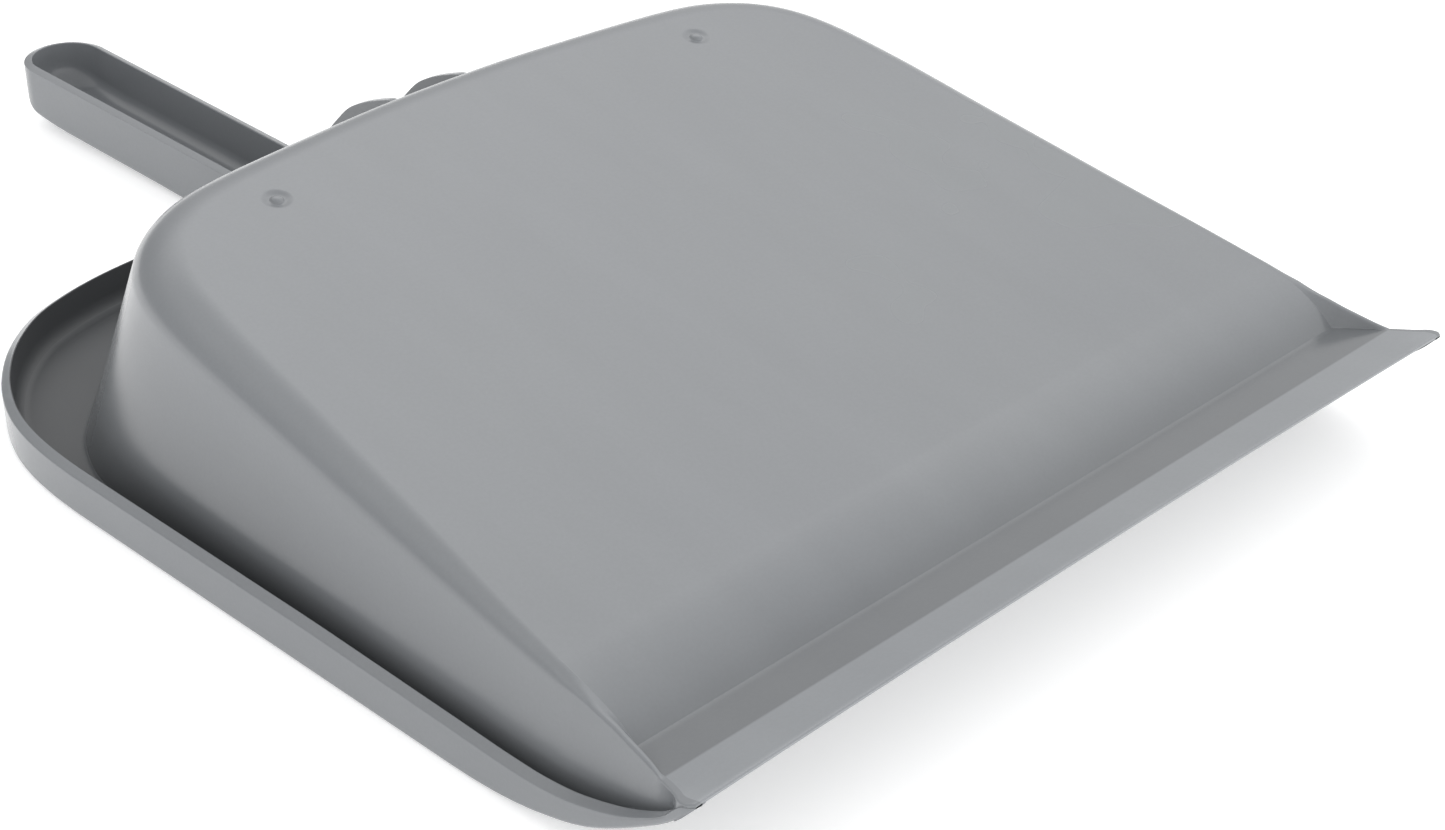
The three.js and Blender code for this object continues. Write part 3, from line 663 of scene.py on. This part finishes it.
# ------------------------------------------------------------------ material
def plastic(name, rough=0.24, seed=0.0, wear=0.05, grain=0.010, wear_y=None, painted_light_bands=None, gutter_shade_and_grime=0.0, foot=0.0):
    """Semi-gloss injection-moulded plastic: slow colour drift, faint flow marks and dust,
    fine orange-peel bump, roughness that wanders, and paler rubbed edges.  wear_y = (none, full)
    limits the rubbed edges along y; bands = [(y, tone)] scales the colour in strips along y with painted light and
    shade;
    grime darkens faces that look inward or lie low in the gutter with painted shade and makes them rougher; foot
    paints shade on the walls, darker towards their foot."""
    m = bpy.data.materials.new(name)
    m.use_nodes = True
    nt = m.node_tree
    nt.nodes.clear()
    N = lambda t, **kw: _node(nt, t, **kw)
    L = nt.links.new
    out = N("ShaderNodeOutputMaterial")
    bsdf = N("ShaderNodeBsdfPrincipled")
    L(bsdf.outputs[0], out.inputs[0])
    bsdf.inputs["IOR"].default_value = 1.5
    bsdf.inputs["Metallic"].default_value = 0.0
    coord = N("ShaderNodeTexCoord")
    shift = N("ShaderNodeMapping")
    shift.inputs["Location"].default_value = (seed, seed * 0.37, seed * 0.71)
    L(coord.outputs["Object"], shift.inputs["Vector"])
    vec = shift.outputs["Vector"]

    drift = N("ShaderNodeTexNoise")
    drift.inputs["Scale"].default_value = 9.0
    drift.inputs["Detail"].default_value = 3.0
    L(vec, drift.inputs["Vector"])
    flow_map = N("ShaderNodeMapping")
    flow_map.inputs["Scale"].default_value = (1.0, 0.16, 1.0)
    L(vec, flow_map.inputs["Vector"])
    flow = N("ShaderNodeTexNoise")
    flow.inputs["Scale"].default_value = 60.0
    flow.inputs["Detail"].default_value = 4.0
    L(flow_map.outputs["Vector"], flow.inputs["Vector"])
    speck = N("ShaderNodeTexNoise")
    speck.inputs["Scale"].default_value = 900.0
    speck.inputs["Detail"].default_value = 2.0
    L(vec, speck.inputs["Vector"])

    base = BASE_RGB
    row = N("ShaderNodeSeparateXYZ")
    L(coord.outputs["Object"], row.inputs[0])

    def math_(op, *args):
        n = N("ShaderNodeMath", operation=op)
        for i, v in enumerate(args):
            if isinstance(v, (int, float)):
                n.inputs[i].default_value = v
            else:
                L(v, n.inputs[i])
        return n.outputs[0]

    def by_y(stops):
        """A value that follows y (millimetres from the lip edge)."""
        lo, hi = stops[0][0], stops[-1][0]
        t = N("ShaderNodeMapRange")
        t.inputs["From Min"].default_value = (lo - LENGTH / 2) / 1000
        t.inputs["From Max"].default_value = (hi - LENGTH / 2) / 1000
        L(row.outputs["Y"], t.inputs["Value"])
        r = N("ShaderNodeValToRGB")
        el = r.color_ramp.elements
        for i, (y, v) in enumerate(stops):
            e = el[0] if i == 0 else el[len(el) - 1] if i == len(stops) - 1 else el.new((y - lo) / (hi - lo))
            e.position, e.color = (y - lo) / (hi - lo), (v, v, v, 1)
        L(t.outputs[0], r.inputs["Fac"])
        return r.outputs["Color"]

    ramp = N("ShaderNodeValToRGB")
    ramp.color_ramp.elements[0].position = 0.25
    ramp.color_ramp.elements[0].color = (base[0] * 0.955, base[1] * 0.957, base[2] * 0.965, 1)
    ramp.color_ramp.elements[1].position = 0.75
    ramp.color_ramp.elements[1].color = (base[0] * 1.045, base[1] * 1.043, base[2] * 1.035, 1)
    L(drift.outputs["Fac"], ramp.inputs["Fac"])
    f_ramp = N("ShaderNodeMapRange")
    f_ramp.inputs["From Min"].default_value = 0.35
    f_ramp.inputs["From Max"].default_value = 0.65
    f_ramp.inputs["To Min"].default_value = 0.985
    f_ramp.inputs["To Max"].default_value = 1.015
    L(flow.outputs["Fac"], f_ramp.inputs["Value"])
    s_ramp = N("ShaderNodeMapRange")
    s_ramp.inputs["From Min"].default_value = 0.3
    s_ramp.inputs["From Max"].default_value = 0.7
    s_ramp.inputs["To Min"].default_value = 0.985
    s_ramp.inputs["To Max"].default_value = 1.015
    L(speck.outputs["Fac"], s_ramp.inputs["Value"])
    mul = N("ShaderNodeMath", operation="MULTIPLY")
    L(f_ramp.outputs[0], mul.inputs[0])
    L(s_ramp.outputs[0], mul.inputs[1])
    amount = mul.outputs[0]
    # Painted light and shade along y: on the lip the darker strip is a painted reflection of the bend, the crease
    # gets painted shade and the front a painted lighter tone.
    if painted_light_bands:
        amount = math_("MULTIPLY", amount, math_("MULTIPLY", by_y([(y, v / 2) for y, v in painted_light_bands]), 2.0))
    # Painted shade: faces that look inward or lie low in the gutter are darkened; the same mask also makes them
    # rougher.
    if gutter_shade_and_grime:
        face = N("ShaderNodeNewGeometry")
        nrm = N("ShaderNodeSeparateXYZ")
        L(face.outputs["Normal"], nrm.inputs[0])
        inward = math_("MULTIPLY", math_("MULTIPLY_ADD", nrm.outputs["X"], row.outputs["X"],
                                         math_("MULTIPLY", math_("MAXIMUM", row.outputs["Y"], 0.0), nrm.outputs["Y"])), -16.0)
        low = math_("MULTIPLY", math_("SUBTRACT", math_("MULTIPLY", by_y([(0, .036), (8, .0292), (16.5, .0234), (23, .0200),
                    (30, .0165), (43, .0120), (58, .0095), (85, .0085)]), 1.0), row.outputs["Z"]), 700.0)
        low = math_("MINIMUM", math_("MAXIMUM", low, 0.0), math_("MAXIMUM", nrm.outputs["Z"], 0.0))
        shade_and_grime_mask = math_("MINIMUM", math_("MAXIMUM", math_("MAXIMUM", inward, low), 0.0), 1.0)
        amount = math_("MULTIPLY", amount, math_("MULTIPLY_ADD", shade_and_grime_mask, -gutter_shade_and_grime, 1.0))
    # Painted shade: the walls darken towards their foot, by height up the wall over the floor's height.
    if foot:
        height = math_("MULTIPLY_ADD", row.outputs["Y"], FLOOR_SLOPE,
                       (FLOOR_Z + FLOOR_SLOPE * (LENGTH / 2 - FLOOR_Y)) / 1000)
        down_wall = N("ShaderNodeMapRange")
        down_wall.inputs["From Min"].default_value = 0.1
        down_wall.inputs["From Max"].default_value = 0.8
        down_wall.inputs["To Min"].default_value = foot
        down_wall.inputs["To Max"].default_value = 0.0
        L(math_("DIVIDE", row.outputs["Z"], height), down_wall.inputs["Value"])
        painted_foot_shade = math_("MULTIPLY", down_wall.outputs[0], by_y([(60, 0.15), (170, 1.0)]))
        amount = math_("MULTIPLY", amount, math_("SUBTRACT", 1.0, painted_foot_shade))
    tone = N("ShaderNodeVectorMath", operation="SCALE")
    L(ramp.outputs["Color"], tone.inputs[0])
    L(amount, tone.inputs["Scale"])

    geo = N("ShaderNodeNewGeometry")
    edge = N("ShaderNodeMapRange")
    edge.inputs["From Min"].default_value = 0.52
    edge.inputs["From Max"].default_value = 0.60
    edge.inputs["To Min"].default_value = 0.0
    edge.inputs["To Max"].default_value = wear * 2.0
    L(geo.outputs["Pointiness"], edge.inputs["Value"])
    worn = edge.outputs[0]
    if wear_y:
        keep = N("ShaderNodeMapRange")
        keep.inputs["From Min"].default_value = (wear_y[0] - LENGTH / 2) / 1000
        keep.inputs["From Max"].default_value = (wear_y[1] - LENGTH / 2) / 1000
        L(row.outputs["Y"], keep.inputs["Value"])
        worn = math_("MULTIPLY", worn, keep.outputs[0])
    rub = N("ShaderNodeMath", operation="MULTIPLY")
    L(worn, rub.inputs[0])
    L(flow.outputs["Fac"], rub.inputs[1])
    mix = N("ShaderNodeMix", data_type="RGBA")
    L(rub.outputs[0], mix.inputs["Factor"])
    L(tone.outputs[0], mix.inputs["A"])
    mix.inputs["B"].default_value = (0.62, 0.64, 0.66, 1)
    L(mix.outputs["Result"], bsdf.inputs["Base Color"])

    r_ramp = N("ShaderNodeMapRange")
    r_ramp.inputs["From Min"].default_value = 0.3
    r_ramp.inputs["From Max"].default_value = 0.7
    r_ramp.inputs["To Min"].default_value = rough - 0.035
    r_ramp.inputs["To Max"].default_value = rough + 0.045
    L(drift.outputs["Fac"], r_ramp.inputs["Value"])
    r_add = N("ShaderNodeMath", operation="MULTIPLY_ADD")
    L(worn, r_add.inputs[0])
    r_add.inputs[1].default_value = 0.5
    L(r_ramp.outputs[0], r_add.inputs[2])
    rough_out = r_add.outputs[0]
    if gutter_shade_and_grime:
        rough_out = math_("MULTIPLY_ADD", shade_and_grime_mask, 0.35, rough_out)
    L(rough_out, bsdf.inputs["Roughness"])

    peel = N("ShaderNodeTexNoise")
    peel.inputs["Scale"].default_value = 420.0
    peel.inputs["Detail"].default_value = 3.0
    L(vec, peel.inputs["Vector"])
    wave = N("ShaderNodeTexNoise")
    wave.inputs["Scale"].default_value = 28.0
    wave.inputs["Detail"].default_value = 1.0
    L(vec, wave.inputs["Vector"])
    b1 = N("ShaderNodeBump")
    b1.inputs["Strength"].default_value = 0.10
    b1.inputs["Distance"].default_value = 0.0006
    L(wave.outputs["Fac"], b1.inputs["Height"])
    b2 = N("ShaderNodeBump")
    b2.inputs["Strength"].default_value = 0.10
    b2.inputs["Distance"].default_value = grain * 0.002
    L(peel.outputs["Fac"], b2.inputs["Height"])
    L(b1.outputs["Normal"], b2.inputs["Normal"])
    L(b2.outputs["Normal"], bsdf.inputs["Normal"])
    return m


def _node(nt, kind, **kw):
    n = nt.nodes.new(kind)
    for k, v in kw.items():
        setattr(n, k, v)
    return n


BASE_RGB = (0.2045, 0.2150, 0.2265)

# ------------------------------------------------------------------ assemble
pieces = []


def settle(obj, node, mat, sharp=32.0):
    shade(obj, sharp)
    obj.data.materials.clear()
    obj.data.materials.append(mat)
    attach(obj, "root")
    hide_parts(node)
    pieces.append(obj)


tub_obj = build_tub()
for sx in (-STUD_X, STUD_X):
    cut(tub_obj, crater_tool(sx))
# The tub and cheek walls get painted shade towards their foot.
settle(tub_obj, "pan_tub", plastic("plastic_tub", wear_y=(64, 72), foot=0.42))
# The lip's strips are painted light: a darker band as a painted reflection of the bend, a lighter front as painted
# light.
settle(build_lip(), "front_lip", plastic("plastic_lip", rough=0.15, wear_y=(9, 5),
                                           painted_light_bands=[(0, 1.22), (14.6, 1.2), (15.4, 0.74), (29, 0.76), (31.5, 0.90), (45, 0.98), (58, 1.0)]))
settle(build_cheek(-1), "cheek_left", plastic("plastic_cheek_left", wear=0.0, foot=0.42), 38)
settle(build_cheek(1), "cheek_right", plastic("plastic_cheek_right", wear=0.0, foot=0.42), 38)
# The rim's gutter gets painted shade, and its faces there are rougher.
settle(build_rim(), "rolled_rim", plastic("plastic_rim", rough=0.16, wear_y=(18, 26), gutter_shade_and_grime=0.62), 38)
settle(build_handle(), "handle", plastic("plastic_handle"), 38)
settle(build_rib(-1), "spine_rib_left", plastic("plastic_rib_left"))
settle(build_rib(1), "spine_rib_right", plastic("plastic_rib_right"))
settle(build_stud(-1), "floor_stud_left", plastic("plastic_stud_left", rough=0.14))
settle(build_stud(1), "floor_stud_right", plastic("plastic_stud_right", rough=0.14))
for node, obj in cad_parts.items():            # the hidden frame carries the finish as well
    obj.data.materials.clear()
    obj.data.materials.append(bpy.data.materials["plastic_tub"])

# ------------------------------------------------------------------ studio
floor_mesh = bpy.data.meshes.new("studio_floor")
floor_mesh.from_pydata([(-6, -6, -0.0004), (6, -6, -0.0004), (6, 6, -0.0004), (-6, 6, -0.0004)], [], [(0, 1, 2, 3)])
floor = bpy.data.objects.new("studio_floor", floor_mesh)
bpy.context.scene.collection.objects.link(floor)
fm = bpy.data.materials.new("studio_floor")
fm.use_nodes = True
fb = fm.node_tree.nodes["Principled BSDF"]
fb.inputs["Base Color"].default_value = (0.92, 0.92, 0.92, 1)
fb.inputs["Roughness"].default_value = 0.9
fb.inputs["Specular IOR Level"].default_value = 0.1
fb.inputs["Emission Color"].default_value = (1, 1, 1, 1)
fb.inputs["Emission Strength"].default_value = 0.4
floor_mesh.materials.append(fm)

world = bpy.data.worlds.new("studio")
bpy.context.scene.world = world
world.use_nodes = True
wt = world.node_tree
bg = wt.nodes["Background"]

# A soft studio: radiance by elevation (rows 0, 15, 30, 45, 60 degrees) and azimuth (every 45 degrees
# from -X through -Y, +X, +Y): a broad diffuser behind on the right, fill cards low in front.
SKY = [[0.80, 1.25, 2.00, 2.05, 1.50, 0.92, 0.40, 0.50],
       [0.85, 1.15, 2.05, 2.05, 1.25, 0.85, 0.45, 0.60],
       [1.00, 1.05, 1.60, 1.45, 1.20, 1.40, 0.75, 0.98],
       [1.15, 1.00, 0.95, 0.95, 1.80, 2.95, 1.70, 1.35],
       [1.15, 1.00, 0.90, 0.90, 1.25, 1.85, 1.45, 1.20],
       [0.80] * 8]
SKY_EL = [0, 15, 30, 45, 60, 78]
SKY_GAIN = 0.93


def w_math(op, *args):
    n = wt.nodes.new("ShaderNodeMath")
    n.operation = op
    for i, a in enumerate(args):
        if isinstance(a, (int, float)):
            n.inputs[i].default_value = a
        else:
            wt.links.new(a, n.inputs[i])
    return n.outputs[0]


w_xyz = wt.nodes.new("ShaderNodeSeparateXYZ")
wt.links.new(wt.nodes.new("ShaderNodeTexCoord").outputs["Generated"], w_xyz.inputs[0])
turn_ = w_math("MULTIPLY_ADD", w_math("ARCTAN2", w_xyz.outputs["Y"], w_xyz.outputs["X"]), 0.5 / math.pi, 0.5)
rise_ = w_math("MULTIPLY", w_math("ARCSINE", w_xyz.outputs["Z"]), 180 / math.pi)
total = None
for i, row in enumerate(SKY):
    ramp = wt.nodes.new("ShaderNodeValToRGB")
    el_ = ramp.color_ramp.elements
    top = max(row)
    for k in range(9):
        v = row[k % 8] / top
        e = el_[0] if k == 0 else el_[len(el_) - 1] if k == 8 else el_.new(k / 8)
        e.position, e.color = k / 8, (v, v, v, 1)
    wt.links.new(turn_, ramp.inputs["Fac"])
    if i == len(SKY) - 1:
        hat = w_math("MINIMUM", w_math("MAXIMUM", w_math("MULTIPLY_ADD", rise_, 1 / 18, -60 / 18), 0.0), 1.0)
    else:
        up = w_math("MULTIPLY_ADD", rise_, 1 / 15, 1 - SKY_EL[i] / 15) if i else 1.0
        width = SKY_EL[i + 1] - SKY_EL[i]
        fall = w_math("MULTIPLY_ADD", rise_, -1 / width, 1 + SKY_EL[i] / width)
        hat = w_math("MINIMUM", w_math("MAXIMUM", w_math("MINIMUM", up, fall), 0.0), 1.0)
    part = w_math("MULTIPLY", w_math("MULTIPLY", ramp.outputs["Color"], hat), top * SKY_GAIN)
    total = part if total is None else w_math("ADD", total, part)
bg.inputs["Color"].default_value = (1, 1, 1, 1)
wt.links.new(total, bg.inputs["Strength"])

# ------------------------------------------------------------------ camera
az, el = math.radians(-45.24), math.radians(30.57)
back = Vector((math.sin(az) * math.cos(el), -math.cos(az) * math.cos(el), math.sin(el)))
cam_data = bpy.data.cameras.new("camera")
cam_data.sensor_fit = "HORIZONTAL"
cam_data.sensor_width = 36.0
cam_data.lens = 2693.03 / 1445 * 36.0
cam_data.clip_start, cam_data.clip_end = 0.01, 50
cam = bpy.data.objects.new("camera", cam_data)
cam.location = (-0.49943, (-347.25 - LENGTH / 2) / 1000, 0.42754)
cam.rotation_euler = (-back).to_track_quat("-Z", "Y").to_euler()
bpy.context.scene.collection.objects.link(cam)
bpy.context.scene.camera = cam

bpy.context.scene.view_settings.view_transform = "Standard"
bpy.context.scene.view_settings.look = "None"
